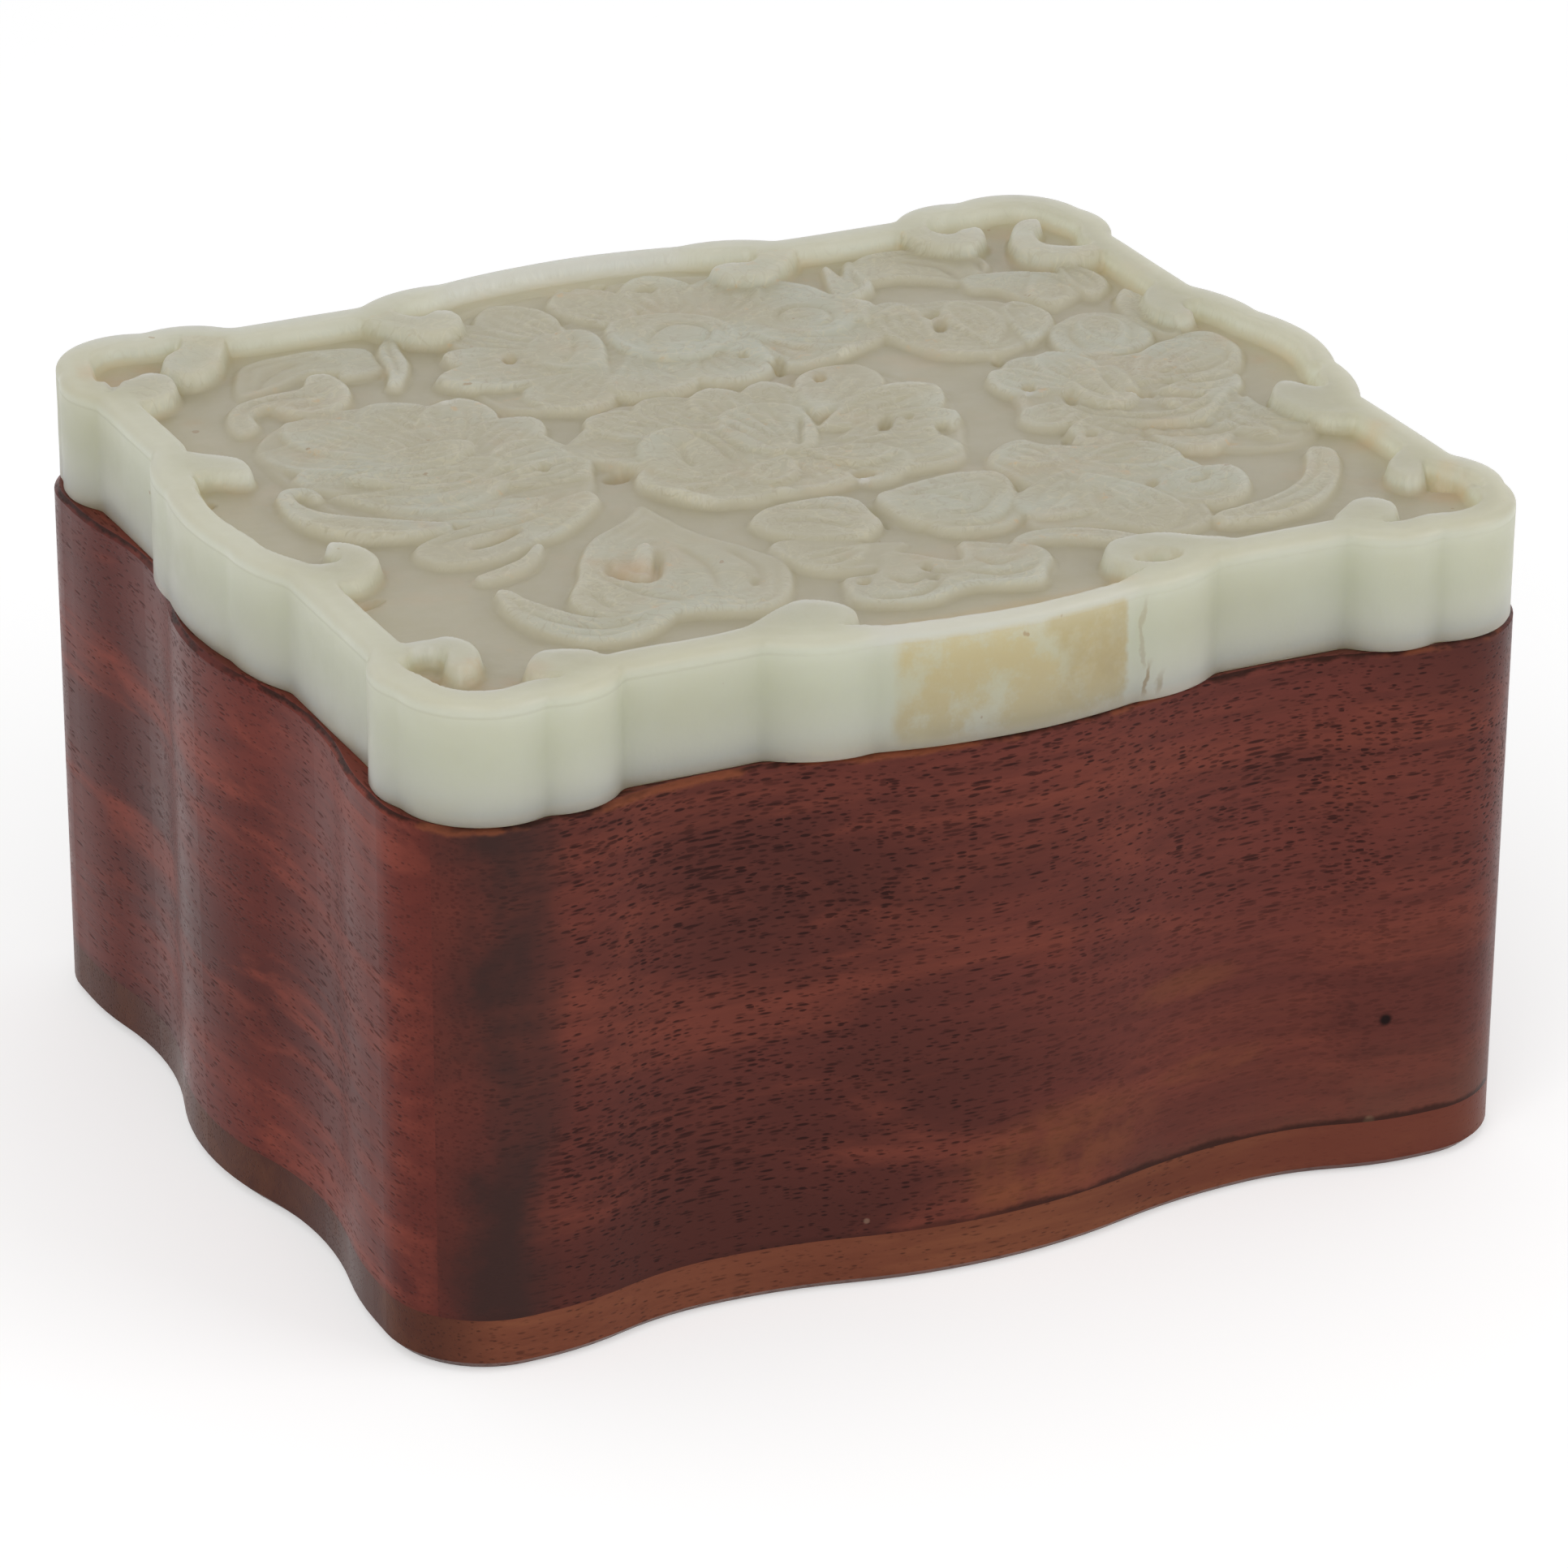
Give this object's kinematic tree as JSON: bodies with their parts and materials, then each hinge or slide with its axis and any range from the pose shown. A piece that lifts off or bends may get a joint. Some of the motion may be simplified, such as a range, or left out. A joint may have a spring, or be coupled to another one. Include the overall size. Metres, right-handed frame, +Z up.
{
  "type": "ink stick and stone box",
  "caption": "Lobed hardwood desk box with a thick carved jade plaque as its lift-off lid and fitted seats for an ink stone and an ink stick.",
  "frame": {"origin": "middle of the underside, on the surface that the box stands on", "axes": "+Z up; +X along the long sides; the long front side faces -Y"},
  "size_m": [0.12, 0.1026, 0.0665],
  "materials": {
    "jade": "polished, slightly greasy celadon-white jade with a brown skin patch",
    "hardwood": "dark red-brown rosewood, waxed, open dark pores along the grain",
    "hardwood_base": "browner rosewood, waxed",
    "hardwood_inner": "rosewood, planed, unpolished",
    "bamboo": "aged bamboo"
  },
  "bodies": {
    "box": {"wall_front": "hardwood", "wall_back": "hardwood", "wall_left": "hardwood", "wall_right": "hardwood", "base_plate": "hardwood_base", "corner_splines": "hardwood_inner", "base_pegs": "bamboo", "divider": "hardwood_inner", "stone_bed": "hardwood_inner", "stick_bed": "hardwood_inner"},
    "lid": {"jade_plaque": "jade", "lid_board": "hardwood_inner"}
  },
  "joints": [
    {"name": "lid_lift", "type": "slide", "parent": "box", "child": "lid", "axis": [0, 0, 1], "range_m": [0, 0.06]}
  ]
}
